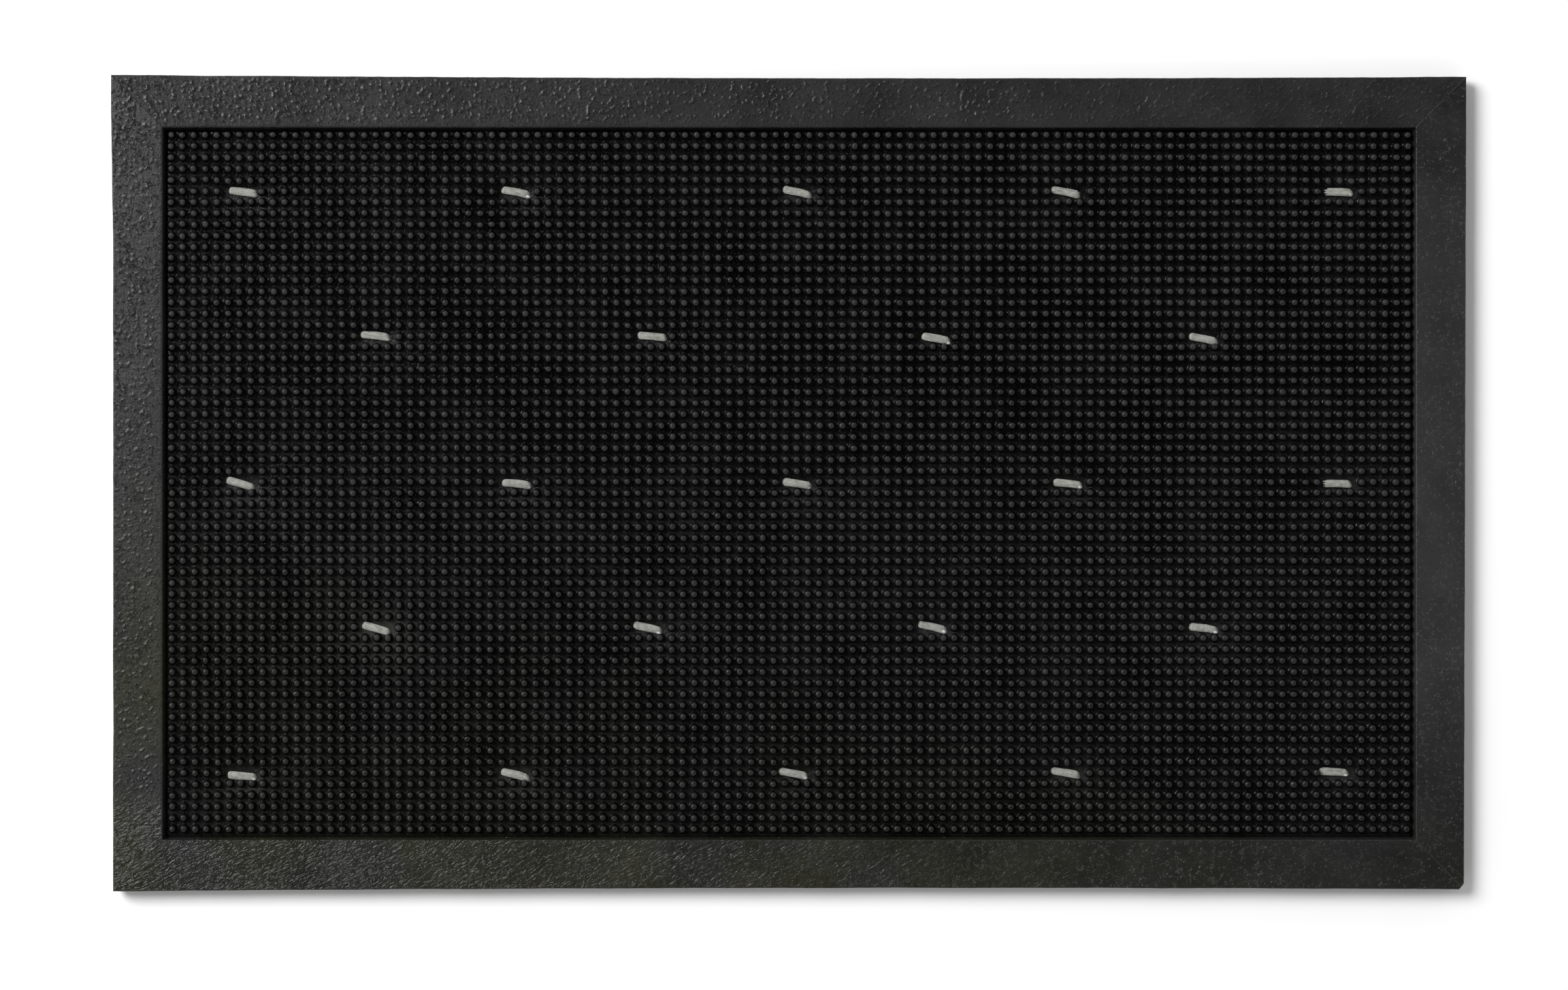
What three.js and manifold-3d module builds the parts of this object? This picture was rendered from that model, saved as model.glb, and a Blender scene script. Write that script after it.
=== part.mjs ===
// Rubber scraper door mat: a moulded rubber tray with a bed of pins, a felt underlay beneath it,
// and 23 hand-tied cord tacks that hold the two together.
// Millimetres. The origin is the middle of the underside, +X runs along the mat's length,
// +Y across its width and +Z up.
import * as THREE from 'three';
import { mergeVertices } from 'three/addons/utils/BufferGeometryUtils.js';
import Module from 'manifold-3d';

const wasm = await Module();
wasm.setup();

// Outline of the mat. One corner was nipped off when the flash was trimmed.
const MAT_LENGTH = 750;
const MAT_WIDTH = 450;
const NIPPED_ALONG = 2.8;
const NIPPED_ACROSS = 3.4;

// Layers, from the floor up.
const UNDERLAY_THICKNESS = 4;
const WEB_THICKNESS = 3;
const PIN_HEIGHT = 4.5;
const WEB_TOP = UNDERLAY_THICKNESS + WEB_THICKNESS;
const MAT_TOP = WEB_TOP + PIN_HEIGHT;

// Border: an outer edge, a gentle ramp, a narrow flat crest and a drafted wall down to the web.
const LIP_THICKNESS = 5.5;
const BORDER_WIDTH = 27.6;
const CREST_WIDTH = 1;
const WALL_DRAFT = 0.8;

// Pin bed. The pins stand on a grid a little to the far side of the tray's middle, and the
// solid is their common outer shape.
const PIN_COLUMNS = 110;
const PIN_ROWS = 63;
const PIN_PITCH_X = 6.289;
const PIN_PITCH_Y = 6.219;
const PIN_BED_SHIFT = 0.9;
const PIN_RADIUS = 2.2;

// Underlay: it stops short of the rubber's edge all round.
const UNDERLAY_INSET = 14;
const UNDERLAY_CORNER_RADIUS = 8;

// Cord tacks: each is a flat loop of cord through both layers, tied underneath.
const TACK_LENGTH = 16.8;
const TACK_WIDTH = 4.2;
const CORD_THICKNESS = 1.3;
const TACK_BEND_RADIUS = 2.2;
const TACK_FLOOR_GAP = 0.9;
const HOLE_CLEARANCE = 0.5;
const LAYER_GAP = 0.3;
const BED_CLEARANCE = 1.4;
const POCKET_CLEARANCE = 1.2;

// Tacks stand in five rows, every 13th pin row. Nine evenly spread pin columns carry them:
// long rows use every other column from the first, short rows the ones between.
// Slants are the turn of each tack seen from above, in degrees, and shifts are how far it
// sits along +X and +Y from its pin, because the tacks were sewn by eye.
const TACK_FIRST_PIN_ROW = 5;
const TACK_PIN_ROW_STEP = 13;
const TACK_FIRST_PIN_COLUMN = 6;
const TACK_LAST_PIN_COLUMN = 103;
const TACK_COLUMNS = 9;
const TACK_ROWS = [
  { slants: [7, 10, 11, 10, 1], along: [1.7, 2.3, 1.3, -0.4, 0.2], across: [-0.6, -0.6, -0.6, -0.6, -0.6] },
  { slants: [5, 5, 10, 10], along: [-0.5, 2.5, 3.1, 0.6], across: [0.5, 0, -1.1, -1.3] },
  { slants: [16, 5, 8, 6, 1], along: [0.2, 2.6, 1.3, 0.8, -0.6], across: [-0.9, -0.9, -0.9, -0.9, -0.9] },
  { slants: [16, 12, 12, 7], along: [0.2, 0, 1.1, 0.8], across: [-0.5, -0.1, 0.3, -0.3] },
  { slants: [4, 13, 10, 9, 3], along: [1, 1.9, -0.9, -0.5, -2.4], across: [-1.6, -0.8, -0.2, 0.2, 0.7] },
];

const rubber = new THREE.MeshStandardMaterial({ color: 0x1d1d1b, roughness: 0.72, metalness: 0 });
const felt = new THREE.MeshStandardMaterial({ color: 0x4a4a48, roughness: 0.95, metalness: 0 });
const cord = new THREE.MeshStandardMaterial({ color: 0xa5a69e, roughness: 0.6, metalness: 0 });

// Solid from a closed geometry, for cutting and joining.
function toSolid(geometry) {
  const bare = geometry.index ? geometry.toNonIndexed() : geometry.clone();
  bare.deleteAttribute('normal');
  bare.deleteAttribute('uv');
  const merged = mergeVertices(bare, 1e-4);
  return new wasm.Manifold(new wasm.Mesh({
    numProp: 3,
    vertProperties: new Float32Array(merged.attributes.position.array),
    triVerts: new Uint32Array(merged.index.array),
  }));
}

function toGeometry(solid) {
  const mesh = solid.getMesh();
  const geometry = new THREE.BufferGeometry();
  geometry.setAttribute('position', new THREE.BufferAttribute(mesh.vertProperties, 3));
  geometry.setIndex(new THREE.BufferAttribute(mesh.triVerts, 1));
  geometry.computeVertexNormals();
  return geometry;
}

function polygon(points) {
  return new THREE.Shape(points.map(([x, y]) => new THREE.Vector2(x, y)));
}

// Upright box between two heights, centred on the Z axis.
function block(length, width, bottom, top) {
  const geometry = new THREE.BoxGeometry(length, width, top - bottom);
  geometry.translate(0, 0, (bottom + top) / 2);
  return geometry;
}

// Prism of a section drawn in (distance along the mat, height), running right across it.
function prismAcrossWidth(section, length) {
  const geometry = new THREE.ExtrudeGeometry(polygon(section), { depth: length, bevelEnabled: false });
  geometry.translate(0, 0, -length / 2);
  geometry.rotateX(Math.PI / 2);
  return geometry;
}

// The same section running right along the mat.
function prismAlongLength(section, length) {
  const geometry = prismAcrossWidth(section, length);
  geometry.rotateZ(Math.PI / 2);
  return geometry;
}

// Section of the mat's outside: edge, ramp and crest on both sides of the middle.
function outerSection(halfSize) {
  const ridge = halfSize - BORDER_WIDTH + CREST_WIDTH;
  const lipTop = UNDERLAY_THICKNESS + LIP_THICKNESS;
  return [
    [-halfSize, UNDERLAY_THICKNESS],
    [halfSize, UNDERLAY_THICKNESS],
    [halfSize, lipTop],
    [ridge, MAT_TOP],
    [-ridge, MAT_TOP],
    [-halfSize, lipTop],
  ];
}

// Section of the tray inside the border, widening upwards past the crest.
function traySection(halfSize) {
  const wide = halfSize - BORDER_WIDTH;
  const above = MAT_TOP + PIN_HEIGHT;
  return [
    [-wide + WALL_DRAFT, WEB_TOP],
    [wide - WALL_DRAFT, WEB_TOP],
    [wide + WALL_DRAFT, above],
    [-wide - WALL_DRAFT, above],
  ];
}

// Two crossed prisms share a solid with mitred corners.
function mitredSolid(section) {
  const reach = MAT_LENGTH + MAT_WIDTH;
  const lengthwise = toSolid(prismAcrossWidth(section(MAT_LENGTH / 2), reach));
  const crosswise = toSolid(prismAlongLength(section(MAT_WIDTH / 2), reach));
  return lengthwise.intersect(crosswise);
}

function nippedCorner() {
  const corner = polygon([
    [MAT_LENGTH / 2 - NIPPED_ALONG, -MAT_WIDTH / 2 - 1],
    [MAT_LENGTH / 2 + 1, -MAT_WIDTH / 2 - 1],
    [MAT_LENGTH / 2 + 1, -MAT_WIDTH / 2 + NIPPED_ACROSS],
    [MAT_LENGTH / 2, -MAT_WIDTH / 2 + NIPPED_ACROSS],
    [MAT_LENGTH / 2 - NIPPED_ALONG, -MAT_WIDTH / 2],
  ]);
  return toSolid(new THREE.ExtrudeGeometry(corner, { depth: MAT_TOP, bevelEnabled: false }));
}

function pinX(column) {
  return (column - (PIN_COLUMNS - 1) / 2) * PIN_PITCH_X;
}

// Rows count from the far long side, which is +Y.
function pinY(row) {
  return ((PIN_ROWS - 1) / 2 - row) * PIN_PITCH_Y + PIN_BED_SHIFT;
}

function tackPlaces() {
  const columnStep = (TACK_LAST_PIN_COLUMN - TACK_FIRST_PIN_COLUMN) / (TACK_COLUMNS - 1);
  return TACK_ROWS.flatMap((row, r) => row.slants.map((slant, i) => {
    const column = Math.round(TACK_FIRST_PIN_COLUMN + (2 * i + (r % 2)) * columnStep);
    return {
      name: `tack_row_${r + 1}_no_${i + 1}`,
      x: pinX(column) + row.along[i],
      y: pinY(TACK_FIRST_PIN_ROW + r * TACK_PIN_ROW_STEP) + row.across[i],
      turn: -THREE.MathUtils.degToRad(slant),
    };
  }));
}

function placed(geometry, place) {
  geometry.rotateZ(place.turn);
  geometry.translate(place.x, place.y, 0);
  return geometry;
}

// Everything that has to be clear of rubber and felt round one tack: the gap in the pin bed,
// a hole for each leg and the pocket for the knot side.
function tackCuts(place) {
  const bed = block(
    TACK_LENGTH + 2 * BED_CLEARANCE,
    TACK_WIDTH + 2 * BED_CLEARANCE,
    WEB_TOP,
    MAT_TOP + 1,
  );
  const pocketTop = TACK_FLOOR_GAP + CORD_THICKNESS + LAYER_GAP;
  const pocket = block(
    TACK_LENGTH + 2 * POCKET_CLEARANCE,
    TACK_WIDTH + 2 * POCKET_CLEARANCE,
    -1,
    pocketTop,
  );
  const legs = [-1, 1].map((side) => {
    const hole = block(
      CORD_THICKNESS + 2 * HOLE_CLEARANCE,
      TACK_WIDTH + 2 * HOLE_CLEARANCE,
      -1,
      MAT_TOP + 1,
    );
    hole.translate(side * (TACK_LENGTH - CORD_THICKNESS) / 2, 0, 0);
    return hole;
  });
  return [bed, pocket, ...legs].map((piece) => toSolid(placed(piece, place)));
}

function cutAll(solid, cuts) {
  return cuts.reduce((rest, cut) => rest.subtract(cut), solid);
}

function rubberMat(cuts) {
  const bedLength = (PIN_COLUMNS - 1) * PIN_PITCH_X + 2 * PIN_RADIUS;
  const bedWidth = (PIN_ROWS - 1) * PIN_PITCH_Y + 2 * PIN_RADIUS;
  const pinBed = toSolid(block(bedLength, bedWidth, WEB_TOP - 1, MAT_TOP)).translate(0, PIN_BED_SHIFT, 0);
  const tray = mitredSolid(outerSection).subtract(mitredSolid(traySection)).add(pinBed);
  return toGeometry(cutAll(tray.subtract(nippedCorner()), cuts.above));
}

function underlay(cuts) {
  const halfLength = MAT_LENGTH / 2 - UNDERLAY_INSET;
  const halfWidth = MAT_WIDTH / 2 - UNDERLAY_INSET;
  const r = UNDERLAY_CORNER_RADIUS;
  const outline = new THREE.Shape();
  outline.absarc(halfLength - r, halfWidth - r, r, 0, Math.PI / 2);
  outline.absarc(-halfLength + r, halfWidth - r, r, Math.PI / 2, Math.PI);
  outline.absarc(-halfLength + r, -halfWidth + r, r, Math.PI, 1.5 * Math.PI);
  outline.absarc(halfLength - r, -halfWidth + r, r, 1.5 * Math.PI, 2 * Math.PI);
  const sheet = new THREE.ExtrudeGeometry(outline, {
    depth: UNDERLAY_THICKNESS,
    bevelEnabled: false,
    curveSegments: 6,
  });
  return toGeometry(cutAll(toSolid(sheet), cuts.below));
}

function roundedLoop(path, halfLength, bottom, top, r) {
  path.absarc(halfLength - r, top - r, r, 0, Math.PI / 2);
  path.absarc(-halfLength + r, top - r, r, Math.PI / 2, Math.PI);
  path.absarc(-halfLength + r, bottom + r, r, Math.PI, 1.5 * Math.PI);
  path.absarc(halfLength - r, bottom + r, r, 1.5 * Math.PI, 2 * Math.PI);
  path.closePath();
  return path;
}

// A closed loop of flat cord: a run on the rubber, two legs and a run under the felt.
function tack(place) {
  const top = WEB_TOP + LAYER_GAP + CORD_THICKNESS;
  const loop = roundedLoop(new THREE.Shape(), TACK_LENGTH / 2, TACK_FLOOR_GAP, top, TACK_BEND_RADIUS);
  loop.holes.push(roundedLoop(
    new THREE.Path(),
    TACK_LENGTH / 2 - CORD_THICKNESS,
    TACK_FLOOR_GAP + CORD_THICKNESS,
    top - CORD_THICKNESS,
    TACK_BEND_RADIUS - CORD_THICKNESS,
  ));
  const geometry = new THREE.ExtrudeGeometry(loop, {
    depth: TACK_WIDTH,
    bevelEnabled: false,
    curveSegments: 2,
  });
  geometry.translate(0, 0, -TACK_WIDTH / 2);
  geometry.rotateX(Math.PI / 2);
  return placed(geometry, place);
}

function piece(name, geometry, material) {
  const mesh = new THREE.Mesh(geometry, material);
  mesh.name = name;
  return mesh;
}

const places = tackPlaces();
const cutSets = places.map(tackCuts);
const cuts = {
  above: cutSets.flatMap(([bed, , ...legs]) => [bed, ...legs]),
  below: cutSets.flatMap(([, pocket, ...legs]) => [pocket, ...legs]),
};

const mat = new THREE.Group();
mat.add(piece('rubber_mat', rubberMat(cuts), rubber));
mat.add(piece('underlay', underlay(cuts), felt));
places.forEach((place) => mat.add(piece(place.name, tack(place), cord)));

export default mat;
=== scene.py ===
import math

import bmesh
import bpy
import numpy as np
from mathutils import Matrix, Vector


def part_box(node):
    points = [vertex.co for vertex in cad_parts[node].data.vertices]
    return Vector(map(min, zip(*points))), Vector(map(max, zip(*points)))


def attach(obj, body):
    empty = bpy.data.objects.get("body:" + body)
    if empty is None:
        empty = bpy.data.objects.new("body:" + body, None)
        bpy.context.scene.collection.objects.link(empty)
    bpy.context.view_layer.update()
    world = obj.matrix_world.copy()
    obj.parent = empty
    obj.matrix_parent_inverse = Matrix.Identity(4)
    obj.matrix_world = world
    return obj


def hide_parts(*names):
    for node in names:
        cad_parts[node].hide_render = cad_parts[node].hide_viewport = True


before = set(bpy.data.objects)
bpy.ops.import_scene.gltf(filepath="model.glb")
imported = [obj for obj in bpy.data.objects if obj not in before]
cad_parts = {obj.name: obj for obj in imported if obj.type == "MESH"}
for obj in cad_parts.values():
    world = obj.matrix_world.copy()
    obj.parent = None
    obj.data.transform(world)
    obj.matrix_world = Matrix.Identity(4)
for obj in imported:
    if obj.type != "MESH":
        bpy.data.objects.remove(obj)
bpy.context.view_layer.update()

MM = 0.001

# The mat's own sizes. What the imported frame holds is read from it.
RUBBER_LOW, RUBBER_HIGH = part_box("rubber_mat")
FELT_LOW, FELT_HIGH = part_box("underlay")
HALF_LENGTH = RUBBER_HIGH.x
HALF_WIDTH = RUBBER_HIGH.y
RUBBER_FLOOR = RUBBER_LOW.z
TIP_HEIGHT = RUBBER_HIGH.z
WEB_THICKNESS = 3 * MM
WEB_TOP = RUBBER_FLOOR + WEB_THICKNESS
LIP_THICKNESS = 5.5 * MM
BORDER_WIDTH = 27.6 * MM
CREST_WIDTH = 1 * MM
RAMP_WIDTH = BORDER_WIDTH - CREST_WIDTH
WALL_DRAFT = 0.8 * MM
NIPPED_ALONG = 2.8 * MM
NIPPED_ACROSS = 3.4 * MM

PIN_COLUMNS, PIN_ROWS = 110, 63
PIN_PITCH_X, PIN_PITCH_Y = 6.289 * MM, 6.219 * MM
PIN_BED_SHIFT = 0.9 * MM
PIN_HEIGHT = TIP_HEIGHT - WEB_TOP
PIN_ROWS_PER_BAND = 5

# How far the cord pulls the rubber down, in a narrow pit inside a wide shallow one.
PIT_DEPTH, PIT_REACH = 0.7 * MM, 6 * MM
HOLLOW_DEPTH, HOLLOW_REACH = 0.6 * MM, 17 * MM

# The tacks: a flat cord, in a loop whose upper bends are rounded. Pins stand clear of its
# middle line. The tacks that lie no further askew than the frayed slope have a frayed left end.
BAND_WIDTH, CORD_THICKNESS = 4.3 * MM, 1.25 * MM
TACK_CORNER = 1.7 * MM
PIN_CLEARANCE = 3.3 * MM
FRAYED_SLOPE = 0.03
# The tack beside which the broad patch of painted light lies.
LIT_PATCH_TACK = "tack_row_4_no_1"

# The width and the middle of what the camera sees at the height of the mat's lip.
VIEW_WIDTH = 0.870
VIEW_MIDDLE = (-0.0029, -0.0063)
FLOOR_RADIUS = 14


# ---------------------------------------------------------------- camera, floor and light

def make_camera():
    """Straight above the mat, a little to the near left of its middle."""
    data = bpy.data.cameras.new("camera")
    data.lens = 85
    data.sensor_width = 36
    camera = bpy.data.objects.new("camera", data)
    bpy.context.scene.collection.objects.link(camera)
    height = VIEW_WIDTH * data.lens / data.sensor_width
    camera.location = (*VIEW_MIDDLE, height + RUBBER_FLOOR + LIP_THICKNESS)
    bpy.context.scene.camera = camera


def make_floor():
    """A wide round of pale studio floor."""
    mesh = bpy.data.meshes.new("floor")
    shape = bmesh.new()
    bmesh.ops.create_circle(shape, cap_ends=True, segments=96, radius=FLOOR_RADIUS)
    shape.to_mesh(mesh)
    shape.free()
    floor = bpy.data.objects.new("floor", mesh)
    bpy.context.scene.collection.objects.link(floor)
    material, _, _, shader = new_material("studio_floor")
    shader.inputs["Base Color"].default_value = (0.9, 0.9, 0.9, 1)
    shader.inputs["Roughness"].default_value = 0.9
    shader.inputs["Specular IOR Level"].default_value = 0.1
    mesh.materials.append(material)


def make_light(name, place, size, power):
    """A round soft light that faces the middle of the mat."""
    data = bpy.data.lights.new(name, "AREA")
    data.shape = "DISK"
    data.size = size
    data.energy = power
    light = bpy.data.objects.new(name, data)
    bpy.context.scene.collection.objects.link(light)
    light.location = place
    light.rotation_euler = Vector(place).to_track_quat("Z", "Y").to_euler()


def make_room():
    """A white room with a dark ceiling: even light from all round, dim overhead."""
    world = bpy.data.worlds.new("room")
    bpy.context.scene.world = world
    world.use_nodes = True
    nodes, links = world.node_tree.nodes, world.node_tree.links
    background = nodes["Background"]
    place = nodes.new("ShaderNodeTexCoord")
    split = nodes.new("ShaderNodeSeparateXYZ")
    ramp = nodes.new("ShaderNodeValToRGB")
    ramp.color_ramp.elements[0].position = 0
    ramp.color_ramp.elements[1].position = 1
    levels = [(0.03, 1.0), (0.62, 1.0), (0.74, 0.05)]
    for position, level in levels:
        ramp.color_ramp.elements.new(position).color = (level, level, level, 1)
    ramp.color_ramp.elements[0].color = (1, 1, 1, 1)
    ramp.color_ramp.elements[-1].color = (0.05, 0.05, 0.05, 1)
    links.new(place.outputs["Generated"], split.inputs[0])
    links.new(split.outputs["Z"], ramp.inputs["Fac"])
    links.new(ramp.outputs["Color"], background.inputs["Color"])


# ---------------------------------------------------------------- node helpers

def new_material(name):
    material = bpy.data.materials.new(name)
    material.use_nodes = True
    nodes, links = material.node_tree.nodes, material.node_tree.links
    return material, nodes, links, nodes["Principled BSDF"]


def noise(nodes, links, vector, scale, detail=4, roughness=0.55, distortion=0):
    """Noise with so many bumps to the metre, mostly between 0.3 and 0.7."""
    node = nodes.new("ShaderNodeTexNoise")
    node.inputs["Scale"].default_value = scale
    node.inputs["Detail"].default_value = detail
    node.inputs["Roughness"].default_value = roughness
    node.inputs["Distortion"].default_value = distortion
    links.new(vector, node.inputs["Vector"])
    return node.outputs["Fac"]


def remap(nodes, links, value, low, high, to_low=0.0, to_high=1.0):
    """The value's way from low to high, clamped, as a value from to_low to to_high."""
    node = nodes.new("ShaderNodeMapRange")
    node.inputs["From Min"].default_value = low
    node.inputs["From Max"].default_value = high
    node.inputs["To Min"].default_value = to_low
    node.inputs["To Max"].default_value = to_high
    links.new(value, node.inputs["Value"])
    return node.outputs["Result"]


def maths(nodes, links, operation, first, second):
    """One arithmetic step. Each side is a number or another node's output."""
    node = nodes.new("ShaderNodeMath")
    node.operation = operation
    for socket, value in zip(node.inputs, (first, second)):
        if isinstance(value, (int, float)):
            socket.default_value = value
        else:
            links.new(value, socket)
    return node.outputs[0]


def mix_colour(nodes, links, amount, first, second):
    node = nodes.new("ShaderNodeMix")
    node.data_type = "RGBA"
    links.new(amount, node.inputs["Factor"])
    for socket, value in ((node.inputs[6], first), (node.inputs[7], second)):
        if isinstance(value, tuple):
            socket.default_value = (*value, 1)
        else:
            links.new(value, socket)
    return node.outputs[2]


def bump(nodes, links, height, distance, under=None):
    """Fine relief that is so many metres high, on top of the relief under it."""
    node = nodes.new("ShaderNodeBump")
    node.inputs["Distance"].default_value = distance
    node.inputs["Strength"].default_value = 1
    links.new(height, node.inputs["Height"])
    if under is not None:
        links.new(under, node.inputs["Normal"])
    return node.outputs["Normal"]


def stretched(nodes, links, vector, scale, turn=0.0):
    """Coordinates turned by some degrees about Z, then scaled."""
    node = nodes.new("ShaderNodeMapping")
    node.vector_type = "TEXTURE"
    node.inputs["Rotation"].default_value = (0, 0, math.radians(turn))
    node.inputs["Scale"].default_value = [1 / s for s in scale]
    links.new(vector, node.inputs["Vector"])
    return node.outputs[0]


def x_and_y(nodes, links, place):
    split = nodes.new("ShaderNodeSeparateXYZ")
    links.new(place, split.inputs[0])
    return split.outputs["X"], split.outputs["Y"]


# ---------------------------------------------------------------- materials

DUST_GREY = (0.12, 0.12, 0.11)


def soiling(nodes, links, place):
    """Where the rubber is soiled: in patches, more of them towards the near left corner."""
    x, y = x_and_y(nodes, links, place)
    corner = maths(nodes, links, "ADD", maths(nodes, links, "MULTIPLY", x, -0.8),
                   maths(nodes, links, "MULTIPLY", y, -3.0))
    patches = noise(nodes, links, place, 14, 3, 0.5)
    return maths(nodes, links, "MULTIPLY", remap(nodes, links, corner, 0.25, 0.65),
                 remap(nodes, links, patches, 0.34, 0.52))


def dust_flecks(nodes, links, place):
    """Small pale flecks, in a few of the cells of a Voronoi pattern."""
    cells = nodes.new("ShaderNodeTexVoronoi")
    cells.inputs["Scale"].default_value = 260
    links.new(place, cells.inputs["Vector"])
    fleck = remap(nodes, links, cells.outputs["Distance"], 0.10, 0.04)
    chosen = remap(nodes, links, noise(nodes, links, place, 170, 1), 0.73, 0.79)
    return maths(nodes, links, "MULTIPLY", fleck, chosen)


def rubber_colour(nodes, links, place, worn_and_painted_light, mottle, dark, light, cast):
    """Black rubber's colour: mottled, greyer where rubbed, paler where light is painted on, with
    patches of a cast and dust flecks.
    """
    fine = noise(nodes, links, place, 900, 3, 0.6)
    tone = maths(nodes, links, "ADD", maths(nodes, links, "MULTIPLY", mottle, 0.35),
                 maths(nodes, links, "MULTIPLY", fine, 0.3))
    tone = maths(nodes, links, "ADD", tone, maths(nodes, links, "MULTIPLY", worn_and_painted_light, 0.35))
    colour = mix_colour(nodes, links, remap(nodes, links, tone, 0.25, 0.75), dark, light)
    tint = nodes.new("ShaderNodeMix")
    tint.data_type = "RGBA"
    tint.blend_type = "MULTIPLY"
    links.new(soiling(nodes, links, place), tint.inputs["Factor"])
    links.new(colour, tint.inputs[6])
    tint.inputs[7].default_value = (*cast, 1)
    return mix_colour(nodes, links, dust_flecks(nodes, links, place), tint.outputs[2], DUST_GREY)


def field_material():
    """Rubber of the pins and the web. The attribute read here is 0 on sheltered, glossy black skin
    and 1 where shoes rub it grey and dull. It also carries painted light: pale patches of painted
    light and lit flanks painted grey."""
    material, nodes, links, shader = new_material("black_rubber_field")
    place = nodes.new("ShaderNodeTexCoord").outputs["Object"]
    wear = nodes.new("ShaderNodeAttribute")
    wear.attribute_name = "wear"
    worn_and_painted_light = wear.outputs["Fac"]
    mottle = noise(nodes, links, place, 38, 5, 0.6)
    colour = rubber_colour(nodes, links, place, worn_and_painted_light, mottle,
                           (0.0004, 0.0004, 0.0004), (0.022, 0.022, 0.022), (1.03, 1.03, 0.84))
    links.new(colour, shader.inputs["Base Color"])
    dull = maths(nodes, links, "ADD", maths(nodes, links, "MULTIPLY", worn_and_painted_light, 0.36),
                 remap(nodes, links, mottle, 0.3, 0.7, 0.16, 0.26))
    links.new(dull, shader.inputs["Roughness"])
    shader.inputs["Specular IOR Level"].default_value = 0.25
    pores = bump(nodes, links, noise(nodes, links, place, 620, 3, 0.6, 0.8), 0.28 * MM)
    links.new(bump(nodes, links, noise(nodes, links, place, 1700, 3, 0.6), 0.06 * MM, pores),
              shader.inputs["Normal"])
    return material


def grain_strength(nodes, links, place):
    """How strong the border's fine grain is: most towards the left and along the far side."""
    x, y = x_and_y(nodes, links, place)
    leftward = remap(nodes, links, x, 0.30, -0.36, 0.10, 1.0)
    farward = remap(nodes, links, y, 0.17, 0.20, 0.0, 0.5)
    patches = remap(nodes, links, noise(nodes, links, place, 22, 2, 0.5), 0.35, 0.65, 0.60, 1.10)
    strength = maths(nodes, links, "MINIMUM", maths(nodes, links, "ADD", leftward, farward), 0.95)
    return maths(nodes, links, "MULTIPLY", strength, patches)


def pimples(nodes, links, place):
    """Raised dots in some of the cells of a warped Voronoi pattern."""
    bend = nodes.new("ShaderNodeTexNoise")
    bend.inputs["Scale"].default_value = 420
    links.new(place, bend.inputs["Vector"])
    warp = nodes.new("ShaderNodeVectorMath")
    warp.operation = "MULTIPLY_ADD"
    links.new(bend.outputs["Color"], warp.inputs[0])
    warp.inputs[1].default_value = (2.2 * MM, 2.2 * MM, 0)
    links.new(place, warp.inputs[2])
    cells = nodes.new("ShaderNodeTexVoronoi")
    cells.inputs["Scale"].default_value = 760
    cells.voronoi_dimensions = "2D"
    links.new(warp.outputs[0], cells.inputs["Vector"])
    dot = remap(nodes, links, cells.outputs["Distance"], 0.38, 0.10)
    chosen = remap(nodes, links, noise(nodes, links, place, 420, 2), 0.57, 0.60)
    return maths(nodes, links, "MULTIPLY", dot, chosen)


def short_worms(nodes, links, place):
    """Narrow crests where a bent noise crosses its middle value, broken into short lengths."""
    bent = noise(nodes, links, place, 420, 1, 0.5, 0.8)
    off_middle = maths(nodes, links, "ABSOLUTE", maths(nodes, links, "SUBTRACT", bent, 0.5), 0)
    crest = remap(nodes, links, off_middle, 0.09, 0.0)
    chosen = remap(nodes, links, noise(nodes, links, place, 330, 1), 0.60, 0.63)
    return maths(nodes, links, "MULTIPLY", crest, chosen)


def near_side_folds(nodes, links, place):
    """Slanting wrinkles, along the near side only."""
    near = remap(nodes, links, x_and_y(nodes, links, place)[1], -0.17, -0.20)
    slanted = stretched(nodes, links, place, (170, 430, 300), 24)
    folds = noise(nodes, links, slanted, 1, 1, 0.5, 2.2)
    return maths(nodes, links, "MULTIPLY", folds, near)


def border_material():
    """Rubber of the border: matte, with fine grain on the coarse grain of its mesh."""
    material, nodes, links, shader = new_material("black_rubber_border")
    place = nodes.new("ShaderNodeTexCoord").outputs["Object"]
    mottle = noise(nodes, links, place, 38, 5, 0.6)
    wear = nodes.new("ShaderNodeAttribute")
    wear.attribute_name = "wear"
    colour = rubber_colour(nodes, links, place, wear.outputs["Fac"], mottle,
                           (0.008, 0.008, 0.008), (0.033, 0.033, 0.033), (1.04, 1.06, 0.52))
    links.new(colour, shader.inputs["Base Color"])
    shader.inputs["Specular IOR Level"].default_value = 0.35
    strength = grain_strength(nodes, links, place)
    relief = maths(nodes, links, "MAXIMUM",
                   pimples(nodes, links, place), short_worms(nodes, links, place))
    relief = maths(nodes, links, "MULTIPLY", relief, strength)
    # The raised grain is rubbed shinier than the skin round it.
    skin_gloss = remap(nodes, links, mottle, 0.3, 0.7, 0.34, 0.41)
    shine = maths(nodes, links, "MULTIPLY", relief, 0.10)
    links.new(maths(nodes, links, "SUBTRACT", skin_gloss, shine), shader.inputs["Roughness"])
    folds = maths(nodes, links, "MULTIPLY", near_side_folds(nodes, links, place), strength)
    skin = bump(nodes, links, relief, 1.6 * MM)
    drawn = bump(nodes, links, folds, 1.2 * MM, skin)
    links.new(bump(nodes, links, noise(nodes, links, place, 800, 3, 0.6), 0.17 * MM, drawn),
              shader.inputs["Normal"])
    return material


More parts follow.
